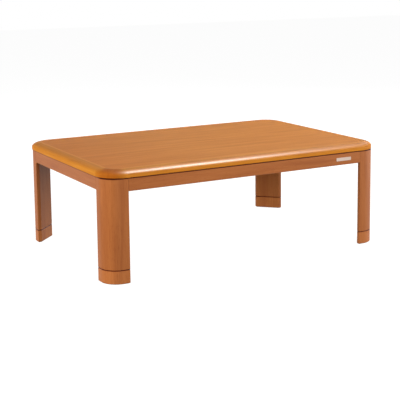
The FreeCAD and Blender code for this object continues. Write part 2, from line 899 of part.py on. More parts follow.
def tube_holders():
    """The two ceramic blocks that grip the tube's open ends."""
    blocks = []
    for y in (-tube_spacing / 2, tube_spacing / 2):
        block = box(
            (holder_face - holder_length, holder_face),
            (y - holder_width / 2, y + holder_width / 2),
            (reflector_ceiling - holder_depth, reflector_ceiling),
        )
        block = rounded(block, holder_edge_round, UPRIGHT)
        bore = rod(
            tube_radius + tube_fit,
            Vector(tube_end_x, y, tube_z),
            Vector(holder_face + overrun, y, tube_z),
        )
        blocks.append(block.cut(bore))
    return Part.makeCompound(blocks)


def tube_clip():
    """The sheet clip that hangs the tube's bend from the reflector."""
    apex = tube_bend_x + tube_spacing / 2
    inner = tube_radius + clip_fit
    low, high = Vector(apex, -clip_width / 2, tube_z), Vector(apex, clip_width / 2, tube_z)
    loop = rod(inner + clip_thickness, low, high)
    stem = box(
        (apex - clip_thickness / 2, apex + clip_thickness / 2),
        (-clip_width / 2, clip_width / 2),
        (tube_z + inner, reflector_ceiling),
    )
    step = Vector(0, overrun, 0)
    return loop.fuse(stem).removeSplitter().cut(rod(inner, low - step, high + step))


# Fan

def motor():
    """The fan motor: a round can with a bearing boss below, bored for its shaft."""
    can = Part.makeCylinder(motor_radius, motor_height, Vector(0, 0, motor_bottom))
    can = bevelled(can, motor_edge_bevel, rim_at(motor_bottom))
    boss = Part.makeCylinder(motor_boss_radius, motor_boss_height, Vector(0, 0, boss_bottom))
    below = boss_bottom - overrun
    bore_length = motor_top - motor_bore_wall - below
    bore = Part.makeCylinder(shaft_radius + shaft_fit, bore_length, Vector(0, 0, below))
    screw_hole = motor_screw_radius + thread_fit
    screw_holes = motor_screw_bars(screw_hole, pan_top - motor_screw_length, motor_top + overrun)
    return can.fuse(boss).removeSplitter().cut([bore] + screw_holes)


def motor_screw_bars(radius, z_low, z_high):
    """Round upright bars at the two motor screws' places."""
    return [
        Part.makeCylinder(radius, z_high - z_low, Vector(x, 0, z_low))
        for x in (-motor_screw_distance, motor_screw_distance)
    ]


def motor_screws():
    """The two screws down through the pan that hold the motor."""
    tip = pan_top - motor_screw_length
    shanks = motor_screw_bars(motor_screw_radius, tip, pan_top)
    heads = motor_screw_bars(motor_screw_head_radius, pan_top, pan_top + motor_screw_head_height)
    return Part.makeCompound([shank.fuse(head).removeSplitter() for shank, head in zip(shanks, heads)])


def hub_span():
    """The lowest and highest level of the impeller's hub."""
    high = boss_bottom - impeller_gap
    return high - impeller_hub_height, high


def fan_shaft():
    """The shaft from the hub's foot up into the motor."""
    low = hub_span()[0]
    high = motor_top - motor_bore_wall - shaft_tip_room
    return Part.makeCylinder(shaft_radius, high - low, Vector(0, 0, low))


def blade(low, high):
    """One curved blade of the impeller, from its inner to its outer radius."""
    height = high - low
    foot = Vector(0, 0, low)
    half = blade_thickness / 2
    zone = Part.makeCylinder(impeller_radius - half, height, foot)
    zone = zone.cut(Part.makeCylinder(blade_inner_radius, height, foot))
    curve_x = (blade_inner_radius + impeller_radius) / 2
    curve_centre = Vector(curve_x, -blade_curve_radius, low)
    shell = Part.makeCylinder(blade_curve_radius + half, height, curve_centre)
    shell = shell.cut(Part.makeCylinder(blade_curve_radius - half, height, curve_centre))
    return max(shell.common(zone).Solids, key=lambda solid: solid.CenterOfMass.y)


def impeller():
    """A round plate with curved blades below it and a hub in the middle."""
    low, high = hub_span()
    plate_foot = high - impeller_plate
    plate = Part.makeCylinder(impeller_radius, impeller_plate, Vector(0, 0, plate_foot))
    hub = Part.makeCylinder(impeller_hub_radius, high - low, Vector(0, 0, low))
    first = blade(plate_foot - blade_height, high)
    blades = [turned(first, step * 360 / blade_count) for step in range(blade_count)]
    bore = Part.makeCylinder(shaft_radius, high - low + 2 * overrun, Vector(0, 0, low - overrun))
    return plate.fuse([hub] + blades).removeSplitter().cut(bore)


# Controls and leads

def thermostat():
    """The round thermostat on the reflector, to the left of the motor."""
    place = Vector(-control_distance, 0, reflector_top)
    body = Part.makeCylinder(thermostat_radius, thermostat_height, place)
    return bevelled(body, thermostat_bevel, rim_at(reflector_top + thermostat_height))


def thermal_fuse():
    """The small thermal fuse on the reflector, to the right of the motor."""
    z = reflector_top + fuse_radius
    half = fuse_length / 2
    return rod(fuse_radius, Vector(control_distance, -half, z), Vector(control_distance, half, z))


def bent_path(points, bend_radius):
    """A wire of straight runs through the points, joined by tangent arcs."""
    edges = []
    start = points[0]
    for before, corner, after in zip(points, points[1:], points[2:]):
        into = (corner - before).normalize()
        out = (after - corner).normalize()
        turn = into.getAngle(out)
        reach = bend_radius * math.tan(turn / 2)
        enter, leave = corner - into * reach, corner + out * reach
        inward = (out - into).normalize()
        middle = corner + inward * (bend_radius / math.cos(turn / 2) - bend_radius)
        edges.append(Part.LineSegment(start, enter).toShape())
        edges.append(Part.Arc(enter, middle, leave).toShape())
        start = leave
    edges.append(Part.LineSegment(start, points[-1]).toShape())
    return Part.Wire(edges)


def lead(points):
    """A solid lead of six-sided section along a bent path."""
    section = hexagon(2 * lead_radius, points[0], points[1] - points[0])
    return bent_path(points, lead_bend_radius).makePipeShell([section], True, False)


def lead_wires():
    """The leads of the heater: the element's, the motor's and those from the inlet's pins."""
    x, y = holder_middle, tube_spacing / 2
    z = reflector_top + lead_height
    inlet_front, _, inlet_low, inlet_high = inlet_spans()
    pin_z = (inlet_low + inlet_high) / 2
    thermostat_side = control_distance - thermostat_radius
    fuse_side = control_distance - fuse_radius
    routes = [
        [
            Vector(x, y, reflector_ceiling),
            Vector(x, y, z),
            Vector(x, 0, z),
            Vector(-control_distance - thermostat_radius, 0, z),
        ],
        [
            Vector(x, -y, reflector_ceiling),
            Vector(x, -y, z),
            Vector(control_distance, -y, z),
            Vector(control_distance, -fuse_length / 2, z),
        ],
        [Vector(-thermostat_side, 0, z), Vector(-motor_radius, 0, z)],
        [Vector(motor_radius, 0, z), Vector(fuse_side, 0, z)],
    ]
    for side, reach in ((-1, thermostat_radius), (1, fuse_length / 2)):
        pin_x = side * pin_spacing / 2
        routes.append(
            [
                Vector(side * control_distance, reach, z),
                Vector(side * control_distance, lead_drop_place, z),
                Vector(pin_x, lead_drop_place, z),
                Vector(pin_x, lead_drop_place, pin_z),
                Vector(pin_x, inlet_front, pin_z),
            ]
        )
    return Part.makeCompound([lead(points) for points in routes])


# Guard

def guard_groove_span():
    """The lowest and highest level of the guard's groove in the bezel."""
    low = bezel_bottom + guard_rise
    return low, low + 4 * guard_wire_radius + weld_gap + 2 * guard_groove_fit


def guard_layer(count, level):
    """One layer of evenly spread wires along X."""
    reach = bezel_opening / 2 + guard_seat_depth
    pitch = bezel_opening / (count + 1)
    wires = []
    for step in range(count):
        across = (step - (count - 1) / 2) * pitch
        wires.append(rod(guard_wire_radius, Vector(-reach, across, level), Vector(reach, across, level)))
    return wires


def heater_guard():
    """The guard: long wires over cross wires, welded where they touch."""
    low, high = guard_groove_span()
    cross_level = low + guard_groove_fit + guard_wire_radius
    long_level = high - guard_groove_fit - guard_wire_radius
    long_wires = guard_layer(guard_long_count, long_level)
    cross_wires = guard_layer(guard_cross_count, cross_level)
    return Part.makeCompound(long_wires + [turned(wire, 90) for wire in cross_wires])


# Cord inlet

def inlet_socket():
    """The socket that the heater's cord plugs into, open to the back."""
    front, back, low, high = inlet_spans()
    body = box((-inlet_width / 2, inlet_width / 2), (front, back), (low, high))
    body = rounded(body, inlet_corner_round, ALONG_Y)
    wall = inlet_wall
    cavity = box(
        (-inlet_width / 2 + wall, inlet_width / 2 - wall),
        (back - inlet_cavity_depth, back + overrun),
        (low + wall, high - wall),
    )
    return body.cut([cavity] + inlet_pin_bars(pin_radius, front - overrun))


def inlet_pin_bars(radius, start):
    """Round bars at the two pins' places, from a start to the pins' tips."""
    front, back, low, high = inlet_spans()
    tip = back - inlet_cavity_depth + pin_length
    z = (low + high) / 2
    return [
        rod(radius, Vector(side * pin_spacing / 2, start, z), Vector(side * pin_spacing / 2, tip, z))
        for side in (-1, 1)
    ]


def parts():
    """Every sub-part by name."""
    made = tabletop()
    made.update(rails_and_aprons())
    for corner in CORNERS:
        made[corner + "_leg"] = at_leg(leg(), corner)
        made[corner + "_extension"] = at_leg(extension(), corner)
        made[corner + "_brace"] = at_leg(brace(), corner)
    made["foot_pads"] = at_all_legs([foot_pad()])
    made["extension_bolts"] = at_all_legs([extension_bolt()])
    made["threaded_inserts"] = at_all_legs([threaded_insert()])
    dowels = locating_dowels(locating_dowel_radius, locating_dowel_length / 2)
    made["locating_dowels"] = at_all_legs(dowels)
    made["brace_screws"] = at_all_legs(brace_screws())
    made["hanger_bolts"] = at_all_legs(hanger_bolts())
    made["leg_nuts"] = at_all_legs(flange_nuts())
    made["rest_pads"] = at_all_legs([rest_pad()])
    made["badge"] = badge()
    made["heater_pan"] = heater_pan()
    made["heater_bezel"] = heater_bezel()
    made["case_screws"] = case_screws()
    made["reflector"] = reflector()
    made["quartz_tube"] = tube_run(tube_radius, tube_radius - tube_wall)
    made["heating_element"] = tube_run(element_radius, 0)
    made["tube_holders"] = tube_holders()
    made["tube_clip"] = tube_clip()
    made["fan_motor"] = motor()
    made["motor_screws"] = motor_screws()
    made["fan_shaft"] = fan_shaft()
    made["fan_impeller"] = impeller()
    made["thermostat"] = thermostat()
    made["thermal_fuse"] = thermal_fuse()
    made["lead_wires"] = lead_wires()
    made["heater_guard"] = heater_guard()
    made["inlet_socket"] = inlet_socket()
    made["inlet_pins"] = Part.makeCompound(inlet_pin_bars(pin_radius, inlet_spans()[0]))
    return made


os.makedirs("parts", exist_ok=True)
for name, shape in parts().items():
    shape.exportStep(f"parts/{name}.step")
    print(f"{name}: {len(shape.Solids)} solids, {shape.Volume:.0f} mm3")
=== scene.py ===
# %% [markdown]
# # A kotatsu table, dressed for its picture
#
# A kotatsu is a low Japanese table with an electric heater under its top. In winter a quilt
# hangs between the top and the frame, so the top lifts off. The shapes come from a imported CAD
# model, one object for each piece. This lesson gives each piece the finish of the real one,
# winds the heater's wire, and sets the table on a pale floor in soft studio light.

# %% Load the frame
import math

import bpy
from mathutils import Matrix, Vector


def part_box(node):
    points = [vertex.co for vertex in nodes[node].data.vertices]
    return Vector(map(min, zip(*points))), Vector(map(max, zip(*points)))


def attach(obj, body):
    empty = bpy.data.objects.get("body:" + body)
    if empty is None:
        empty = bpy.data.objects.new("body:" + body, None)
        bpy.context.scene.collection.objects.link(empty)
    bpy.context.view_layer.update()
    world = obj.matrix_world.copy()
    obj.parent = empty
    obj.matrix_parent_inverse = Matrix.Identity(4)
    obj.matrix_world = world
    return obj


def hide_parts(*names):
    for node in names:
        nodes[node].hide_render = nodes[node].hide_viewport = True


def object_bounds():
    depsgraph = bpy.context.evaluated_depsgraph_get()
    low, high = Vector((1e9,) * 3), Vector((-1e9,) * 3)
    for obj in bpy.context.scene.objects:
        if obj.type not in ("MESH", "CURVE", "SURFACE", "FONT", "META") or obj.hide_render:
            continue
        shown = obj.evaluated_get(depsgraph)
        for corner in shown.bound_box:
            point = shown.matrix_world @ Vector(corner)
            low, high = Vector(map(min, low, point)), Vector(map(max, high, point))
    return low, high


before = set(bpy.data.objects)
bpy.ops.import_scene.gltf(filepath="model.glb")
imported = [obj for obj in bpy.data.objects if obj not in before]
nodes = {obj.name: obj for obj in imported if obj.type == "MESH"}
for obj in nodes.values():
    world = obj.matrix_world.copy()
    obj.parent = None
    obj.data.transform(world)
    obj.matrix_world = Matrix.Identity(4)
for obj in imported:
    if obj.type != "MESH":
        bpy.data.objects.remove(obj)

cad_box = [list(corner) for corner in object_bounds()]
scene = bpy.context.scene
scene.view_settings.view_transform = "Standard"
print("pieces:", len(nodes), "box:", cad_box)

# %% [markdown]
# ## Colours
#
# A colour is picked from a sample as it looks on a screen, which is a hex value in sRGB. Blender
# works in linear light, where the numbers of a dark colour are much smaller. The values could be
# turned by hand, but a hex value is easier to check, so one function turns each of them.

# %% Colours
MM = 0.001  # one millimetre in Blender's metres


def linear(hex_colour):
    """A hex colour in sRGB as linear red, green, blue and alpha, by that standard's curve."""
    values = [int(hex_colour[start:start + 2], 16) / 255 for start in (1, 3, 5)]
    curve = [v / 12.92 if v <= 0.04045 else ((v + 0.055) / 1.055) ** 2.4 for v in values]
    return (*curve, 1.0)


print("mid grey in linear light:", round(linear("#808080")[0], 3))

# %% [markdown]
# ## Nodes
#
# A procedural material is a small program: nodes that do one step each, and links between them.
# Written out, a node takes four or five lines, and the recipe is lost among them. So one
# function takes a node's kind, what goes in and how it is set, and gives back what comes out.

# %% Nodes
def enabled(sockets, name):
    """The socket of that name that the node's settings leave in use."""
    return next(socket for socket in sockets if socket.name == name and socket.enabled)


def add_node(tree, kind, output, inputs=None, stops=None, **settings):
    """Adds a node with its settings and links, and returns one output.

    With no output named, it returns the node. An input goes by its name, or by its number where
    a node has two of one name, and takes a value, or another node's output to link to it. Stops
    are the places and the hex colours of a colour ramp, in rising order.
    """
    node = tree.nodes.new(kind)
    for name, value in settings.items():
        setattr(node, name, value)
    for name, value in (inputs or {}).items():
        socket = node.inputs[name] if isinstance(name, int) else enabled(node.inputs, name)
        if isinstance(value, bpy.types.NodeSocket):
            tree.links.new(value, socket)
        else:
            socket.default_value = value
    if stops:
        elements = node.color_ramp.elements
        while len(elements) < len(stops):
            elements.new(1.0)
        for element, (position, colour) in zip(elements, stops.items()):
            element.position = position
            element.color = linear(colour)
    return node if output is None else enabled(node.outputs, output)


print("kinds of node to add:", sum(kind.startswith("ShaderNode") for kind in dir(bpy.types)))

# %% [markdown]
# ## Materials
#
# Every finish here ends in one Principled shader, which holds the roughness, the gloss and the
# coat of nearly any real surface. Its patterns read the place on the piece in metres. That place
# moves with the piece, so nothing slides over the wood when the top is lifted, and a pattern
# keeps its real size on pieces of any shape. What a pattern gives is a colour and a relief.

# %% Materials
SHADER = "Principled BSDF"


def new_material(name, **shader_values):
    """A material with one shader. Returns it, its tree of nodes and the place on the piece."""
    material = bpy.data.materials.new(name)
    material.use_nodes = True
    tree = material.node_tree
    for socket, value in shader_values.items():
        tree.nodes[SHADER].inputs[socket.replace("_", " ")].default_value = value
    return material, tree, add_node(tree, "ShaderNodeTexCoord", "Object")


def lay_on(tree, colour, height, relief):
    """Gives the shader a colour, and a bump whose full height is a relief in metres."""
    values = {"Height": height, "Distance": relief, "Strength": 1.0}
    bump = add_node(tree, "ShaderNodeBump", "Normal", values)
    tree.links.new(colour, tree.nodes[SHADER].inputs["Base Color"])
    tree.links.new(bump, tree.nodes[SHADER].inputs["Normal"])


def shaded(tree, colour, shade, measure, none_at, full_at, share=1.0, blend="MULTIPLY", curve="LINEAR"):
    """Lays a shade over a colour where a measure says so.

    None of it shows at one value of the measure, and a share of it shows at the other.
    """
    values = {"Value": measure, "From Min": none_at, "From Max": full_at, "To Max": share}
    mask = add_node(tree, "ShaderNodeMapRange", "Result", values, interpolation_type=curve)
    values = {"Factor": mask, "A": colour, "B": linear(shade)}
    return add_node(tree, "ShaderNodeMix", "Result", values, data_type="RGBA", blend_type=blend)


def dress(material, *names):
    """Gives some CAD pieces one material."""
    for name in names:
        nodes[name].data.materials.clear()
        nodes[name].data.materials.append(material)
    print(material.name, "on", *names)


print("pieces to dress:", len(nodes))

# %% [markdown]
# ## Wood
#
# Fibres run along a board. Broad bands show where the saw went through early and late wood, and
# short dark pores lie among the fibres. A picture of wood could be wrapped round each piece, but
# it repeats, and it blurs close up. Noise that is stretched along the fibres needs no picture,
# and gives each piece its own figure, so three such noises draw the bands, fibres and pores. The
# real fibres are under a millimetre wide. That is finer than a pixel of the picture, so they are
# drawn a few millimetres wide, as coarse as they need to be to show.

# %% Streaks along the grain
FIBRE_WIDTH = 2.2 * MM
BAND_WIDTH = 26 * MM
PORE_WIDTH = 1.3 * MM
FIBRE_LENGTHS = 45          # how many times longer than wide a fibre is
BAND_LENGTHS = 14
PORE_LENGTHS = 16
BAND_WAVER = 0.6            # how far the bands stray from straight
STREAK_DETAIL_SHARE = 0.55  # how strong each finer layer of a streak's noise is


def streaks(tree, place, width, lengths, detail, waver=0.0):
    """A noise of streaks along X, by their width and how many times longer they are."""
    stretch = (1 / (width * lengths), 1 / width, 1 / width)
    stretched = add_node(tree, "ShaderNodeMapping", "Vector", {"Vector": place, "Scale": stretch})
    values = {
        "Vector": stretched,
        "Scale": 1.0,
        "Detail": detail,
        "Roughness": STREAK_DETAIL_SHARE,
        "Distortion": waver,
    }
    return add_node(tree, "ShaderNodeTexNoise", "Fac", values)


print("fibre length in mm:", round(FIBRE_WIDTH * FIBRE_LENGTHS / MM))

# %% [markdown]
# ### The figure of the wood
#
# Each piece is cut from its own board, and its fibres follow its length: along X on the long
# aprons, along Y on the short ones, up the legs, and across the corner on the corner blocks.
# One recipe does them all. It turns the place until the fibres run along X, mixes bands and
# fibres, gives the mix three tones, and darkens the pores. Fibres and pores also make a relief,
# because lacquer sinks into them a little.

# %% Figure
TONE_PLACES = (0.25, 0.5, 0.75)  # where in the noise the dark, middle and light tones lie
FIBRE_SHARE = 0.42               # the rest of the figure is bands
PORE_EDGE = 0.62                 # a pore starts where its noise passes this value
PORE_MIDDLE = 0.74               # and is darkest from this one on
PORE_RELIEF_SHARE = 0.5          # the rest of the relief is fibres
GRAIN_RELIEF = 0.05 * MM
UPRIGHT_GRAIN = (0, math.pi / 2, 0)


def level_grain(degrees):
    """The turn that lays the grain flat, at an angle from the X axis."""
    return (0, 0, math.radians(degrees))


def wood_figure(tree, place, grain_turn, tones, pores):
    """The colour and the height of wood whose fibres run along a turned X axis."""
    values = {"Vector": place, "Rotation": grain_turn}
    along = add_node(tree, "ShaderNodeMapping", "Vector", values, vector_type="TEXTURE")
    bands = streaks(tree, along, BAND_WIDTH, BAND_LENGTHS, detail=3.0, waver=BAND_WAVER)
    fibres = streaks(tree, along, FIBRE_WIDTH, FIBRE_LENGTHS, detail=4.0)
    pits = streaks(tree, along, PORE_WIDTH, PORE_LENGTHS, detail=1.0)
    values = {"Factor": FIBRE_SHARE, "A": bands, "B": fibres}
    figure = add_node(tree, "ShaderNodeMix", "Result", values)
    stops = dict(zip(TONE_PLACES, tones))
    toned = add_node(tree, "ShaderNodeValToRGB", "Color", {"Fac": figure}, stops)
    dark = tones[0]
    colour = shaded(tree, toned, dark, pits, PORE_EDGE, PORE_MIDDLE, pores)
    values = {"Factor": PORE_RELIEF_SHARE, "A": fibres, "B": pits}
    return colour, add_node(tree, "ShaderNodeMix", "Result", values)


print("grain relief in mm:", GRAIN_RELIEF / MM)

# %% [markdown]
# ### Dark joints and painted shade
#
# The real table has two thin dark lines all round: the seam between each leg and its extension, and the gap
# between the frame and the top. No lamp reaches into such a joint, and the top's overhang casts a shadow on
# the gap. The CAD model has both joints, but they are narrower than a pixel of the picture, so a painted
# shade darkens the wood beside them too. Both are level, so the height alone says where.

# %% Joints and their painted shade
JOINT_PAINTED_SHADE_TONE = "#8A5A44"  # painted shade of the joints and the gap; multiplies the wood's own colour
JOINT_BLUR = 0.8 * MM
SEAM_HALF_HEIGHT = 1.6 * MM  # half the height of the dark line
GAP_HALF_HEIGHT = 2.4 * MM
leg_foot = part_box("front_left_leg")[0].z
apron_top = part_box("front_apron")[1].z
edging_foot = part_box("front_edging")[0].z
leg_seam = (leg_foot, SEAM_HALF_HEIGHT)
top_gap = ((apron_top + edging_foot) / 2, GAP_HALF_HEIGHT)


def painted_joint_shade(tree, place, colour, level, half_height):
    """Paints shade on a colour round a level joint, over the joint and the wood beside it."""
    height = add_node(tree, "ShaderNodeSeparateXYZ", "Z", {"Vector": place})
    above = add_node(tree, "ShaderNodeMath", "Value", {0: height, 1: level}, operation="SUBTRACT")
    away = add_node(tree, "ShaderNodeMath", "Value", {0: above}, operation="ABSOLUTE")
    return shaded(tree, colour, JOINT_PAINTED_SHADE_TONE, away, half_height + JOINT_BLUR, half_height)


print("seam and gap levels in mm:", round(leg_seam[0] / MM, 1), round(top_gap[0] / MM, 1))

# %% [markdown]
# ### Finished wood
#
# A maker stains the wood, which tints it, and then sprays or rubs on a finish, which sets its gloss. The
# recipe follows that order: figure, then any painted light that changes from place to place, then the dark
# joints with their painted shade, and the shader's own values for the gloss. Each wooden piece could have
# its own recipe, but then a change to the grain would be made ten times, so one serves them all.

# %% Finished wood
OPEN_PORES = 0.35  # how much of the pores shows, from none to one


def wood(name, grain_turn, tones, pores=OPEN_PORES, joints=(), painted_light=None, **shader_values):
    """Finished wood. Its tones run from late to early wood, and painted light changes them by place."""
    material, tree, place = new_material(name, **shader_values)
    colour, height = wood_figure(tree, place, grain_turn, tones, pores)
    # Painted light that changes by place: a shade on the veneer, a highlight on the edging's lip
    if painted_light:
        colour = painted_light(tree, place, colour)
    # Painted shade round the dark joints and in the gap under the top
    for level, half_height in joints:
        colour = painted_joint_shade(tree, place, colour, level, half_height)
    lay_on(tree, colour, height, GRAIN_RELIEF)
    return material


print("share of the pores that shows:", OPEN_PORES)

# %% [markdown]
# ## The field: a sheet of veneer
#
# The middle of the top is a thin sheet of straight-grained veneer under a satin coat, its grain along the
# long side. The light falls off towards the left end of the top, so a shade is painted on there, which also
# makes it a little redder. The painted shade could be drawn by hand, but it only fades along X, so the
# place gives it. The usual level of gloss is 0.5. The white studio would wash out the colour at that value,
# so it is matched to the picture, and only a trace is left.

# %% Veneer
FIELD_TONES = ("#BC722D", "#CC8137", "#DA9042")
FIELD_PORES = 0.25
FIELD_COAT = {"Roughness": 0.45, "Specular_IOR_Level": 0.01}
LEFT_END_PAINTED_SHADE = "#F5E7D2"  # painted shade, darker and redder at the left end; multiplies the veneer's own colour
LEFT_SHADE_GONE = -0.1        # where along X the painted shade has faded out, in metres
# the painted shade is full at the left end of the table
left_shade_full = cad_box[0][0]


def painted_left_shade(tree, place, colour):
    """Paints shade on the veneer towards its left end, darker and redder."""
    along = add_node(tree, "ShaderNodeSeparateXYZ", "X", {"Vector": place})
    return shaded(tree, colour, LEFT_END_PAINTED_SHADE, along, LEFT_SHADE_GONE, left_shade_full)


# Satin hides the sheen of the fibres and leaves their colour; a painted shade darkens the left end
dress(
    wood("veneer_satin_coat", level_grain(0), FIELD_TONES, FIELD_PORES, painted_light=painted_left_shade, **FIELD_COAT),
    "top_face",
)

# %% [markdown]
# ## The edging: solid wood under gloss lacquer
#
# The edging is solid wood, milled to a rounded crown and sprayed with gloss lacquer, so it is more golden
# than the field and carries one long bright reflection of the lamp above. Where it meets the veneer, a
# small step catches the light, and that thin highlight is painted on as a paler lip all round. The lip lies
# at a distance from the veneer, straight along the sides and round at the corners. All four corners are
# mirrored onto one, so a single distance from its middle does for the lot.

# %% Painted lip highlight
# painted highlight where the edging meets the veneer
LIP_HIGHLIGHT_COLOUR = "#F0A448"
LIP_SHARE = 0.3
LIP_WIDTH = 7 * MM
LIP_BLUR = 3 * MM
corner_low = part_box("back_right_corner_edging")[0]
corner_middle = (corner_low.x, corner_low.y, 0.0)
lip_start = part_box("top_face")[1].x - corner_low.x  # the veneer's own radius at a corner
lip_end = lip_start + LIP_WIDTH


def past_corner(tree, mirrored):
    """How far a mirrored place lies past the middle of the corner, level in X and Y."""
    offset = add_node(
        tree, "ShaderNodeVectorMath", "Vector", {0: mirrored, 1: corner_middle}, operation="SUBTRACT"
    )
    return add_node(tree, "ShaderNodeVectorMath", "Vector", {0: offset, 1: (1, 1, 0)}, operation="MULTIPLY")


def painted_lip_highlight(tree, place, colour):
    """Paints a highlight on the edging along its inner edge."""
    mirrored = add_node(tree, "ShaderNodeVectorMath", "Vector", {0: place}, operation="ABSOLUTE")
    values = {0: past_corner(tree, mirrored), 1: (0, 0, 0)}
    outward = add_node(tree, "ShaderNodeVectorMath", "Vector", values, operation="MAXIMUM")
    distance = add_node(tree, "ShaderNodeVectorMath", "Value", {0: outward}, operation="LENGTH")
    return shaded(tree, colour, LIP_HIGHLIGHT_COLOUR, distance, lip_end + LIP_BLUR, lip_end, LIP_SHARE, "MIX")


print("lip from", round(lip_start / MM, 1), "to", round(lip_end / MM, 1), "mm past the corner's middle")

# %% [markdown]
# ### Lacquer
#
# Lacquer is a clear layer on a matt wood. The wood's own gloss could stand for it, as on the
# veneer, but it would follow the bumps of the grain, where real lacquer lies smooth. So the
# shader's coat is the layer, over a base without gloss. A lacquer's index of refraction is about
# 1.5. At that value the white studio would pale the whole edging, so it is matched to the
# picture at 1.15, and the lamp above is strong instead. A coat roughness of 0.42 spreads the
# streak nearly as wide as the real one, which says that the spray dried with a slight texture.

# %% Lacquered edging
EDGING_TONES = ("#AA651B", "#BE7624", "#CC8A30")
EDGING_PORES = 0.12
LACQUER = {
    "Roughness": 0.4,
    "Specular_IOR_Level": 0.0,
    "Coat_Weight": 0.5,
    "Coat_Roughness": 0.42,
    "Coat_IOR": 1.15,
}


def lacquered_edging(name, degrees):
    """A strip of the edging, with its grain at an angle from X, a painted highlight on its inner edge and
    painted shade at the gap below.
    """
    return wood(name, level_grain(degrees), EDGING_TONES, EDGING_PORES, (top_gap,), painted_lip_highlight, **LACQUER)


dress(lacquered_edging("edging_lacquer_along_x", 0), "front_edging", "back_edging")
dress(lacquered_edging("edging_lacquer_along_y", 90), "left_edging", "right_edging")

# %% [markdown]
# ### The corners of the edging
#
# A corner piece is cut with its fibres along the diagonal, so they end in the middle of its curve. A
# painted shade darkens the middle of the curve, most of all on the near corner. One material could be
# turned four times, but mirroring the place makes it fit all four corners. Its shade follows the angle
# round the middle of the curve: X times Y of the direction is zero at both straight sides, and one half on
# the diagonal.

# %% Corners
CORNER_PAINTED_SHADE = "#D6BBAF"  # painted shade in the middle of a corner's curve; multiplies the wood's own colour
DIAGONAL_PRODUCT = 0.5
NEAR_CORNER_SHADE_SHARE = 1.0  # of the painted shade; the near corner gets the most
# of the painted shade, on the other three corners
CORNER_SHADE_SHARE = 0.2


def turned_corner(name, shade_share):
    """The edging's lacquered wood, with a share of painted shade in the curve, darkest on the diagonal."""
    material, tree, place = new_material(name, **LACQUER)
    mirrored = add_node(tree, "ShaderNodeVectorMath", "Vector", {0: place}, operation="ABSOLUTE")
    colour, height = wood_figure(tree, mirrored, level_grain(45), EDGING_TONES, EDGING_PORES)
    values = {0: past_corner(tree, mirrored)}
    direction = add_node(tree, "ShaderNodeVectorMath", "Vector", values, operation="NORMALIZE")
    axes = add_node(tree, "ShaderNodeSeparateXYZ", None, {"Vector": direction})
    values = {0: axes.outputs["X"], 1: axes.outputs["Y"]}
    product = add_node(tree, "ShaderNodeMath", "Value", values, operation="MULTIPLY")
    # painted shade in the middle of the curve
    colour = shaded(
        tree, colour, CORNER_PAINTED_SHADE, product, 0.0, DIAGONAL_PRODUCT, shade_share, curve="SMOOTHSTEP"
    )
    # painted highlight on the inner edge, and painted shade at the gap below
    colour = painted_joint_shade(tree, place, painted_lip_highlight(tree, place, colour), *top_gap)
    lay_on(tree, colour, height, GRAIN_RELIEF)
    return material


near_corner = turned_corner("edging_lacquer_near_corner_painted_shade", NEAR_CORNER_SHADE_SHARE)
dress(near_corner, "front_left_corner_edging")
dress(
    turned_corner("edging_lacquer_corner_painted_shade", CORNER_SHADE_SHARE),
    "front_right_corner_edging",
    "back_left_corner_edging",
    "back_right_corner_edging",
)

# %% [markdown]
# ## The frame: stained wood under satin lacquer
#
# The legs and aprons are stained redder than the top and sprayed with a thin satin lacquer, which gives a
# broad, weak sheen. A coat could do it as on the edging, but a thin film shows no depth, so the shader's
# own gloss is enough. The extensions are given tones a shade lighter than the legs. Fibres stand upright in
# the legs and lie level in the aprons.

# %% Legs and aprons
FRAME_TONES = ("#8A4A23", "#9D5B2D", "#AC6938")
EXTENSION_TONES = ("#945128", "#A86332", "#B7723D")
# The joints carry painted shade round the leg seams and under the top
FRAME_FINISH = {"joints": (leg_seam, top_gap), "Roughness": 0.45, "Specular_IOR_Level": 0.16}
CORNERS = ("front_left", "front_right", "back_left", "back_right")

legs = wood("leg_satin_stain", UPRIGHT_GRAIN, FRAME_TONES, **FRAME_FINISH)
dress(legs, *[corner + "_leg" for corner in CORNERS])
extensions = wood("extension_satin_stain", UPRIGHT_GRAIN, EXTENSION_TONES, **FRAME_FINISH)
dress(extensions, *[corner + "_extension" for corner in CORNERS])
long_aprons = wood("apron_satin_stain_along_x", level_grain(0), FRAME_TONES, **FRAME_FINISH)
dress(long_aprons, "front_apron", "back_apron")
short_aprons = wood("apron_satin_stain_along_y", level_grain(90), FRAME_TONES, **FRAME_FINISH)
dress(short_aprons, "left_apron", "right_apron")

# %% [markdown]
# ## Wood that hides under the top
#
# Rails, corner blocks and dowels are planed and left bare, because nobody sees them. Bare wood is
# paler than stained wood, and its cut fibres scatter light, so it is dull. The same recipe does
# it with pale tones and a high roughness. Each corner block lies across its corner, so there
# is one material for each diagonal.

# %% Bare wood
BARE_TONES = ("#C49C68", "#D2AE7C", "#DDBE90")
DRY = {"Roughness": 0.75, "Specular_IOR_Level": 0.3}

long_rails = wood("rail_planed_wood_along_x", level_grain(0), BARE_TONES, **DRY)
dress(long_rails, "front_heater_rail", "back_heater_rail", "left_slat", "right_slat")
short_rails = wood("rail_planed_wood_along_y", level_grain(90), BARE_TONES, **DRY)
dress(short_rails, "left_cross_rail", "right_cross_rail")
rising_blocks = wood("block_planed_wood_rising", level_grain(45), BARE_TONES, **DRY)
dress(rising_blocks, "front_right_brace", "back_left_brace")
falling_blocks = wood("block_planed_wood_falling", level_grain(-45), BARE_TONES, **DRY)
dress(falling_blocks, "front_left_brace", "back_right_brace")
dress(wood("dowel_beech", UPRIGHT_GRAIN, BARE_TONES, **DRY), "locating_dowels")

# %% [markdown]
# ## Board and backing
#
# The core of the top is fibreboard: ground wood pressed flat, with no grain, only a speckle of
# chips. The backing is a brown paper laminate that keeps the top from warping. Both are grainy
# surfaces, as are plastic, rubber and plated metal further down, and differ in the size of the
# grain, its relief and their tones. So one function with those values makes them all, from one
# noise for both colour and relief.

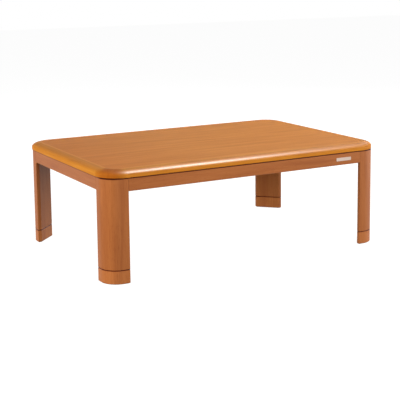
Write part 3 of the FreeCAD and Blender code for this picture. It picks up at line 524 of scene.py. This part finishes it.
# %% Grainy surfaces
SPECKLE_PLACES = (0.35, 0.65)  # where in the noise the dark and the light tone lie
SPECKLE_DETAIL = 3.0           # layers of finer noise in a grain
SPECKLE_DETAIL_SHARE = 0.6     # how strong each layer is


def speckled(name, tones, grain, relief, **shader_values):
    """A surface of grains: their real size and relief in metres, and their two tones."""
    material, tree, place = new_material(name, **shader_values)
    values = {
        "Vector": place,
        "Scale": 1 / grain,
        "Detail": SPECKLE_DETAIL,
        "Roughness": SPECKLE_DETAIL_SHARE,
    }
    lumps = add_node(tree, "ShaderNodeTexNoise", "Fac", values)
    stops = dict(zip(SPECKLE_PLACES, tones))
    colour = add_node(tree, "ShaderNodeValToRGB", "Color", {"Fac": lumps}, stops)
    lay_on(tree, colour, lumps, relief)
    return material


# Chips of a millimetre or two, dull where they were sawn
board = speckled("core_fibreboard", ("#9C7A50", "#B4925F"), grain=1.5 * MM, relief=0.05 * MM, **DRY)
dress(board, "top_core")
# Pressed between smooth plates, so an even brown with a soft shine
laminate = speckled(
    "backing_paper_laminate", ("#8A6544", "#936D4A"), grain=3 * MM, relief=0.02 * MM, Roughness=0.5
)
dress(laminate, "top_backing")

# %% [markdown]
# ## Moulded plastic
#
# The heater's bezel and inlet are moulded in a black plastic that stands heat. A mould is etched
# by sparks, which gives the plastic a fine even texture and a soft gloss. That texture could be
# cut into the mesh, but it is far finer than any face there, so it is drawn. The thermostat's
# body is phenolic, a hard resin that is pressed hot. It is browner than black, and smoother.

# %% Plastic
MOULDED = {"Roughness": 0.5, "Specular_IOR_Level": 0.5}

# The bezel's coarse texture hides fingerprints, and breaks up its reflections
bezel = speckled(
    "bezel_moulded_black", ("#1E1D1C", "#262524"), grain=0.5 * MM, relief=0.04 * MM, **MOULDED
)
dress(bezel, "heater_bezel")
# The inlet has a finer one, so it looks a little blacker
inlet = speckled(
    "inlet_moulded_black", ("#1A1918", "#211F1E"), grain=0.4 * MM, relief=0.02 * MM, **MOULDED
)
dress(inlet, "inlet_socket")
# Pressed resin shows brown flecks of its filler
phenolic = speckled(
    "thermostat_phenolic", ("#2A211C", "#35291F"), grain=0.8 * MM, relief=0.02 * MM, Roughness=0.4
)
dress(phenolic, "thermostat")

# %% [markdown]
# ## Badge, pads and feet
#
# The badge on the front apron is a thin aluminium plate under satin ivory paint. The top rests
# on four pads of dark rubber, and the feet stand on felt. Rubber is duller than plastic. Felt is
# a mat of fibres that scatters light at its edge. A cloud of hairs could be drawn, but the pads
# are only a few millimetres thick, and the shader's sheen gives the same soft edge.

# %% Paint, rubber and felt
# Spray paint levels out, so its grain is hardly seen, and the plate keeps a clean shine
paint = speckled(
    "badge_painted_ivory", ("#C1AB9B", "#CBB6A7"), grain=0.6 * MM, relief=0.01 * MM, Roughness=0.35
)
dress(paint, "badge")
# Rubber from a plain mould is almost matt
rubber = speckled(
    "rest_pad_rubber", ("#2B2927", "#35322F"), grain=1.0 * MM, relief=0.05 * MM, Roughness=0.85
)
dress(rubber, "rest_pads")
# Tufts of brown wool, dull from the front and light at the rim
felt = speckled(
    "foot_pad_felt",
    ("#5B3C26", "#6E4B31"),
    grain=1.6 * MM,
    relief=0.3 * MM,
    Roughness=0.95,
    Sheen_Weight=0.3,
)
dress(felt, "foot_pads")

# %% [markdown]
# ## Ceramic and silicone
#
# What touches the hot tube has to stand the heat. The holders are steatite, a fired ceramic
# under a matt glaze, off-white and slightly rough. The thermal fuse has a bright glaze, which is
# smoother. The leads are insulated with silicone rubber. All three are pale and could share one
# white, but the eye tells them apart by their shine, so each has its own.

# %% Ceramic and silicone
# A matt glaze lets the grain of the fired powder show
steatite = speckled(
    "holder_steatite", ("#D9D2C4", "#E6E0D4"), grain=0.6 * MM, relief=0.03 * MM, Roughness=0.55
)
dress(steatite, "tube_holders")
# A bright glaze fills the grain and shines more
glazed = speckled(
    "fuse_glazed_body", ("#CFC6B6", "#DAD2C4"), grain=0.6 * MM, relief=0.02 * MM, Roughness=0.3
)
dress(glazed, "thermal_fuse")
# Silicone comes from the extruder with a soft uneven skin, so the leads are white and matt
silicone = speckled(
    "lead_silicone_jacket", ("#D8D2C6", "#EDE9E0"), grain=0.7 * MM, relief=0.06 * MM, Roughness=0.8
)
dress(silicone, "lead_wires")

# %% [markdown]
# ## Plated and drawn metal
#
# Metals differ in colour, in roughness and in how their surface was made. They could be told
# apart by their index of refraction, but a metal's colour already holds its effect, so each
# keeps the shader's default. Plating grows in tiny crystals, which makes the surface slightly
# uneven. The crystals are finer than the picture shows, and are drawn 0.8 mm wide.

# %% Plated metal
PLATING_GRAIN = 0.8 * MM
PLATING_RELIEF = 0.01 * MM


def plated(name, tones, roughness):
    """Metal with a faintly uneven plated or drawn surface."""
    return speckled(name, tones, PLATING_GRAIN, PLATING_RELIEF, Metallic=1.0, Roughness=roughness)


# Bright zinc: the light grey shine of screws, softened by plating them in a barrel
dress(
    plated("screw_zinc_plated_steel", ("#B9BBB8", "#CDCFCC"), 0.32),
    "extension_bolts",
    "threaded_inserts",
    "brace_screws",
    "hanger_bolts",
    "leg_nuts",
    "case_screws",
    "motor_screws",
    "fan_shaft",
)
# The sheet of the motor's can was plated before it was drawn, so it is greyer and duller
dress(plated("motor_can_zinc", ("#A9ABA9", "#BBBDBA"), 0.38), "fan_motor")
# Bare aluminium, stamped from sheet: light, with a soft blur
dress(plated("impeller_aluminium", ("#C4C6C8", "#D6D8DA"), 0.35), "fan_impeller")
# Nickel is warmer than zinc, and the brightest of the platings
dress(plated("guard_nickel_wire", ("#BDBBB6", "#CFCDC8"), 0.25), "heater_guard")
# Hardened steel, bare and slightly blue
dress(plated("clip_spring_steel", ("#A3A4A6", "#B5B6B8"), 0.3), "tube_clip")
# Brass from the lathe, yellow and shiny
dress(plated("inlet_pin_brass", ("#C9A45A", "#DDBB74"), 0.28), "inlet_pins")

# %% [markdown]
# ## Galvanised sheet
#
# The heater's pan is steel sheet that was dipped in molten zinc, which freezes in flat crystals
# as wide as a fingernail. Each has its own grey and its own shine. A noise would blur them into
# each other, so the pattern is one of cells, which grow from seeds until they meet, as crystals do.

# %% Pan
SPANGLE = 9 * MM  # the width of a crystal
SPANGLE_TONES = {0.0: "#9DA0A2", 1.0: "#B9BCBE"}
SPANGLE_ROUGHNESS = (0.35, 0.5)  # of the smoothest and the roughest crystal


def galvanised(name):
    """Hot-dipped sheet: flat zinc crystals, each with its own grey and shine."""
    material, tree, place = new_material(name, Metallic=1.0)
    values = {"Vector": place, "Scale": 1 / SPANGLE}
    crystals = add_node(tree, "ShaderNodeTexVoronoi", "Color", values)
    grey = add_node(tree, "ShaderNodeSeparateColor", "Red", {"Color": crystals})
    colour = add_node(tree, "ShaderNodeValToRGB", "Color", {"Fac": grey}, SPANGLE_TONES)
    tree.links.new(colour, tree.nodes[SHADER].inputs["Base Color"])
    values = {"Value": grey, "To Min": SPANGLE_ROUGHNESS[0], "To Max": SPANGLE_ROUGHNESS[1]}
    shine = add_node(tree, "ShaderNodeMapRange", "Result", values)
    tree.links.new(shine, tree.nodes[SHADER].inputs["Roughness"])
    return material


dress(galvanised("pan_galvanised_steel"), "heater_pan")

# %% [markdown]
# ## Bright rolled sheet
#
# The reflector is polished aluminium sheet that throws the heat down. Rolling leaves long fine
# lines in it, which stretch its reflections sideways. The shader's anisotropy could do that by
# itself, but the lines also show, so they are drawn, with the streaks that drew the wood.

# %% Reflector
LINE_WIDTH = 0.8 * MM  # the real lines are finer than the picture shows
LINE_LENGTHS = 120     # how many times longer than wide a line is
LINE_TONES = {0.3: "#D2D4D6", 0.7: "#E2E4E6"}
LINE_RELIEF = 0.008 * MM


def rolled_sheet(name):
    """Bright sheet with the long fine lines of the rolling mill."""
    material, tree, place = new_material(name, Metallic=1.0, Roughness=0.16)
    lines = streaks(tree, place, LINE_WIDTH, LINE_LENGTHS, detail=2.0)
    colour = add_node(tree, "ShaderNodeValToRGB", "Color", {"Fac": lines}, LINE_TONES)
    lay_on(tree, colour, lines, LINE_RELIEF)
    return material


dress(rolled_sheet("reflector_bright_aluminium"), "reflector")

# %% [markdown]
# ## Where the coil runs
#
# Behind the guard, a coiled wire runs through a quartz tube that is bent into a U. The CAD model
# keeps the coil as a plain core. Its own box gives all that the coil needs: how thick it is, how
# far apart the two arms lie, and how long they are. The middle line is two straight arms and a
# half turn. It could be drawn by hand as a curve, but a function of the distance along it also
# says which way is outward, and winding a wire round the line needs both.

# %% Middle line of the coil
core_low, core_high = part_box("heating_element")
core_radius = (core_high.z - core_low.z) / 2
coil_level = (core_high.z + core_low.z) / 2
arm_y = core_high.y - core_radius
bend_x = core_high.x - core_radius - arm_y
arm_length = bend_x - core_low.x
coil_length = 2 * arm_length + math.pi * arm_y


def coil_middle(distance):
    """The place on the middle line at a distance from its first end, and the outward side."""
    if distance < arm_length:
        return Vector((core_low.x + distance, arm_y, coil_level)), Vector((0, 1, 0))
    if distance > coil_length - arm_length:
        return Vector((core_low.x + coil_length - distance, -arm_y, coil_level)), Vector((0, -1, 0))
    turn = (distance - arm_length) / arm_y
    outward = Vector((math.sin(turn), math.cos(turn), 0))
    return Vector((bend_x, 0, coil_level)) + outward * arm_y, outward


print("coil length in mm:", round(coil_length / MM))

# %% [markdown]
# ## The heating wire
#
# The real wire is wound on a rod and slid into the tube, so its turns lie evenly along it. A
# screw modifier could wind the arms but not the bend. So the wire is one open curve whose points
# step round the middle line, and the curve's bevel gives it a round section. The alloy grows a
# dark grey oxide in its first heat, which takes most of its shine.

# %% Wire
COIL_PITCH = 3.2 * MM
WIRE_RADIUS = 0.45 * MM
POINTS_PER_TURN = 12


def wound_wire(name):
    """The coil along the tube, as a curve with a round section."""
    curve = bpy.data.curves.new(name, "CURVE")
    curve.dimensions = "3D"
    curve.bevel_depth = WIRE_RADIUS
    curve.bevel_resolution = 1
    count = int(coil_length / COIL_PITCH * POINTS_PER_TURN)
    spline = curve.splines.new("POLY")
    spline.points.add(count)
    radius = core_radius - WIRE_RADIUS
    for step, point in enumerate(spline.points):
        middle, outward = coil_middle(coil_length * step / count)
        turn = 2 * math.pi * step / POINTS_PER_TURN
        place = middle + radius * (math.cos(turn) * outward + math.sin(turn) * Vector((0, 0, 1)))
        point.co = (*place, 1.0)
    coil = bpy.data.objects.new(name, curve)
    scene.collection.objects.link(coil)
    return coil


element = wound_wire("element_coil")
element.data.materials.append(plated("element_resistance_wire", ("#6E6A66", "#807B76"), 0.45))
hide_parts("heating_element")
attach(element, "frame")
print("turns:", round(coil_length / COIL_PITCH))

# %% [markdown]
# ## Quartz glass
#
# The tube is drawn from molten quartz, which stands the heat that would crack plain glass. Its
# index of refraction is 1.46, lower than that of glass, so it bends light a little less. It
# could be left perfectly clear, but drawing leaves a faint haze, and the haze makes the tube
# show in front of the bright reflector.

# %% Quartz tube
HAZE_SIZE = 12 * MM
HAZE_TONES = {0.3: "#F2F0EC", 0.7: "#FFFFFF"}


def quartz_glass(name):
    """Clear drawn quartz with a faint haze."""
    material, tree, place = new_material(name, Transmission_Weight=1.0, IOR=1.46, Roughness=0.05)
    haze = add_node(tree, "ShaderNodeTexNoise", "Fac", {"Vector": place, "Scale": 1 / HAZE_SIZE})
    colour = add_node(tree, "ShaderNodeValToRGB", "Color", {"Fac": haze}, HAZE_TONES)
    tree.links.new(colour, tree.nodes[SHADER].inputs["Base Color"])
    return material


dress(quartz_glass("tube_quartz_glass"), "quartz_tube")

# %% [markdown]
# ## Eased edges
#
# No real edge is perfectly sharp. The rails and slats were sanded lightly after planing, so a
# small bevel catches the light along them. Cutting the bevel into the mesh would change the CAD
# shape for good, so modifiers do it. The mesh is welded first, because its faces come apart at
# sharp edges, and a bevel needs them joined.

# %% Bevels
EASED_EDGE = 0.8 * MM
WELD_DISTANCE = 0.001 * MM
SHARP_ANGLE = math.radians(40)


def ease_edges(name):
    """A small bevel on all sharp edges of a CAD piece, as modifiers."""
    weld = nodes[name].modifiers.new("weld", "WELD")
    weld.merge_threshold = WELD_DISTANCE
    bevel = nodes[name].modifiers.new("eased", "BEVEL")
    bevel.width = EASED_EDGE
    bevel.segments = 2
    bevel.limit_method = "ANGLE"
    bevel.angle_limit = SHARP_ANGLE
    bevel.harden_normals = True


for rail in ("front_heater_rail", "back_heater_rail", "left_slat", "right_slat"):
    ease_edges(rail)
print("eased edges of", EASED_EDGE / MM, "mm")

# %% [markdown]
# ## White from every side
#
# The picture shows the table on plain white with hardly any shadow. Lighting the floor until it
# turns white would burn out the table too. So the world and the floor are white only to a ray
# that comes from the camera, from a glossy reflection or through glass. All other rays, the
# ones that light the table, meet a much weaker world and a mid grey floor.

# %% World
AMBIENT_STRENGTH = 0.1
WHITE = "#FFFFFF"


def seen_directly(tree):
    """One for rays from the camera, from a glossy reflection or through glass, or else zero."""
    rays = add_node(tree, "ShaderNodeLightPath", None)
    seen = rays.outputs["Is Camera Ray"]
    for kind in ("Is Glossy Ray", "Is Transmission Ray"):
        values = {0: seen, 1: rays.outputs[kind]}
        seen = add_node(tree, "ShaderNodeMath", "Value", values, operation="MAXIMUM")
    return seen


def white_world(name):
    """Soft light from all round, and plain white where the camera or a reflection sees it."""
    world = bpy.data.worlds.new(name)
    world.use_nodes = True
    tree = world.node_tree
    values = {"Color": linear(WHITE), "Strength": AMBIENT_STRENGTH}
    around = add_node(tree, "ShaderNodeBackground", "Background", values)
    backdrop = add_node(tree, "ShaderNodeBackground", "Background", {"Color": linear(WHITE)})
    values = {0: seen_directly(tree), 1: around, 2: backdrop}
    surface = add_node(tree, "ShaderNodeMixShader", "Shader", values)
    tree.links.new(surface, tree.nodes["World Output"].inputs["Surface"])
    tree.nodes.remove(tree.nodes["Background"])
    return world


scene.world = white_world("studio_white")
print("ambient light:", AMBIENT_STRENGTH)

# %% [markdown]
# ## The floor
#
# A photographer lays the object on a sweep of white paper. Here the paper is a large square just
# under the feet. The camera sees mostly a glow, which no shadow reaches, and a little of the
# lamps' light, which keeps the soft shadow under the table. From below the paper is clear, so
# that the underside can be looked at.

# %% Floor
FLOOR_SIZE = 30.0        # metres
FLOOR_LEVEL = -0.2 * MM  # just under the feet, so that the two faces never share a level
FLOOR_GLOW = 0.95        # the part of the floor's white that no shadow reaches
FLOOR_ANSWER = 0.22      # how much of the lamps' light the seen floor gives back
FLOOR_GREY = "#7C7C7C"   # what the table sees, so that little light comes up at it


def white_paper(name):
    """Paper that is white to the camera, grey to the table and clear from below."""
    material = bpy.data.materials.new(name)
    material.use_nodes = True
    tree = material.node_tree
    tree.nodes.remove(tree.nodes[SHADER])
    grey = add_node(tree, "ShaderNodeBsdfDiffuse", "BSDF", {"Color": linear(FLOOR_GREY)})
    answer = (FLOOR_ANSWER, FLOOR_ANSWER, FLOOR_ANSWER, 1.0)
    pale = add_node(tree, "ShaderNodeBsdfDiffuse", "BSDF", {"Color": answer})
    glow = add_node(tree, "ShaderNodeEmission", "Emission", {"Strength": FLOOR_GLOW})
    seen = add_node(tree, "ShaderNodeAddShader", "Shader", {0: pale, 1: glow})
    values = {0: seen_directly(tree), 1: grey, 2: seen}
    above = add_node(tree, "ShaderNodeMixShader", "Shader", values)
    clear = add_node(tree, "ShaderNodeBsdfTransparent", "BSDF")
    from_below = add_node(tree, "ShaderNodeNewGeometry", "Backfacing")
    surface = add_node(tree, "ShaderNodeMixShader", "Shader", {0: from_below, 1: above, 2: clear})
    tree.links.new(surface, tree.nodes["Material Output"].inputs["Surface"])
    return material


def level_square(name, size, level):
    """A level square of one face, its middle under the table's."""
    half = size / 2
    mesh = bpy.data.meshes.new(name)
    corners = [(-half, -half, level), (half, -half, level), (half, half, level), (-half, half, level)]
    mesh.from_pydata(corners, [], [(0, 1, 2, 3)])
    square = bpy.data.objects.new(name, mesh)
    scene.collection.objects.link(square)
    return square


floor = level_square("floor", FLOOR_SIZE, FLOOR_LEVEL)
floor.data.materials.append(white_paper("floor_white_paper"))
print("floor:", FLOOR_SIZE, "m square")

# %% [markdown]
# ## Soft lamps
#
# A studio lights furniture with softboxes, lamps behind a large white cloth, whose shadows have
# no hard edge. Five of them stand round the table. The left one is low and strong, so the left
# side is the bright one. The front one is high, so the apron shades the rear legs. The left and
# rear lamps are kept out of reflections, where they would show as white patches on the top.

# %% Soft lamps
TABLE_MIDDLE = (0, 0, 0.3)
SOFT_LAMPS = {
    # name: place, width and height in metres, watts
    "lamp_left": ((-4.2, 0.0, 0.95), 2.4, 1.6, 168),
    "lamp_far_right": ((3.2, 1.0, 2.4), 2.0, 1.6, 93),
    "lamp_low_right": ((4.8, -2.4, 1.0), 2.0, 1.6, 185),
    "lamp_front": ((-0.6, -4.4, 2.0), 2.2, 1.6, 145),
    "lamp_back": ((1.2, 4.6, 1.2), 2.0, 2.0, 55),
}
UNREFLECTED = ("lamp_left", "lamp_back")


def softbox(name, place, target, width, height, power):
    """A rectangular soft lamp that faces a target."""
    light = bpy.data.lights.new(name, "AREA")
    light.shape = "RECTANGLE"
    light.size = width
    light.size_y = height
    light.energy = power
    lamp = bpy.data.objects.new(name, light)
    lamp.location = place
    lamp.rotation_euler = (Vector(target) - Vector(place)).to_track_quat("-Z", "Y").to_euler()
    scene.collection.objects.link(lamp)
    return lamp


for name, (place, width, height, power) in SOFT_LAMPS.items():
    lamp = softbox(name, place, TABLE_MIDDLE, width, height, power)
    lamp.visible_glossy = name not in UNREFLECTED
print("soft lamps:", *SOFT_LAMPS)

# %% [markdown]
# ## Lamps for the streak
#
# The streak along the front edging is the mirror image of a long softbox overhead. With the
# weak gloss of this lacquer it takes a very strong lamp, which would burn out everything else.
# So three overhead lamps give gloss only, and only to the glossy top: one makes the streak, one
# its fading right end, and one the light on the far shoulder of the edging.

# %% Streak lamps
STREAK_LAMP_HEIGHT = 2.35  # metres above the floor
STREAK_LAMPS = {
    # name: middle in X and Y, width and depth in metres, watts
    "lamp_streak": (0.70, -0.80, 0.86, 1.6, 2100),
    "lamp_streak_tail": (1.40, -0.80, 0.6, 1.6, 25),
    "lamp_shoulder": (1.2, 0.75, 2.0, 1.3, 10),
}

glossy_top = bpy.data.collections.new("glossy_top")
for name, piece in nodes.items():
    if name == "top_face" or name.endswith("edging"):
        glossy_top.objects.link(piece)
for name, (x, y, width, depth, power) in STREAK_LAMPS.items():
    lamp = softbox(name, (x, y, STREAK_LAMP_HEIGHT), (x, y, 0), width, depth, power)
    lamp.visible_diffuse = False
    lamp.light_linking.receiver_collection = glossy_top

# %% [markdown]
# ## Camera
#
# The picture was taken from about four metres away, a little above the table, with a long lens.
# Its place and turns were found by fitting the table's corners to the picture. The fit has the
# lens point at a row well above the picture's middle, as when a picture is cropped from a larger
# one, so the lens is shifted to follow. Tilting the camera further down instead would make the
# legs lean.

# %% Camera
CAMERA_PLACE = Vector((-1.9963, -3.6125, 1.1013))
CAMERA_YAW = 0.50456     # to the right of +Y, in radians
CAMERA_PITCH = 0.14557   # below the horizon
CAMERA_ROLL = -0.010556
FOCAL_PIXELS = 1032.8    # focal length in pixels of the picture
PICTURE_PIXELS = 400
PRINCIPAL_ROW = 120      # the picture's row that the lens points at
SENSOR_WIDTH = 36.0      # millimetres


def photo_camera(name):
    """The camera that sees the table as the picture does."""
    data = bpy.data.cameras.new(name)
    data.sensor_width = SENSOR_WIDTH
    data.lens = SENSOR_WIDTH * FOCAL_PIXELS / PICTURE_PIXELS
    data.shift_y = (PRINCIPAL_ROW - PICTURE_PIXELS / 2) / PICTURE_PIXELS
    forward = Vector((
        math.sin(CAMERA_YAW) * math.cos(CAMERA_PITCH),
        math.cos(CAMERA_YAW) * math.cos(CAMERA_PITCH),
        -math.sin(CAMERA_PITCH),
    ))
    level_right = Vector((math.cos(CAMERA_YAW), -math.sin(CAMERA_YAW), 0))
    level_up = level_right.cross(forward)
    right = level_right * math.cos(CAMERA_ROLL) + level_up * math.sin(CAMERA_ROLL)
    up = right.cross(forward)
    turns = Matrix((right, up, -forward)).transposed().to_4x4()
    camera = bpy.data.objects.new(name, data)
    camera.matrix_world = Matrix.Translation(CAMERA_PLACE) @ turns
    scene.collection.objects.link(camera)
    return camera


scene.camera = photo_camera("camera")
print("lens:", round(scene.camera.data.lens, 2), "mm, shift:", round(scene.camera.data.shift_y, 3))

# %% [markdown]
# ## Sizes
#
# The dressed table may not outgrow the CAD model, whose sizes are the real ones.
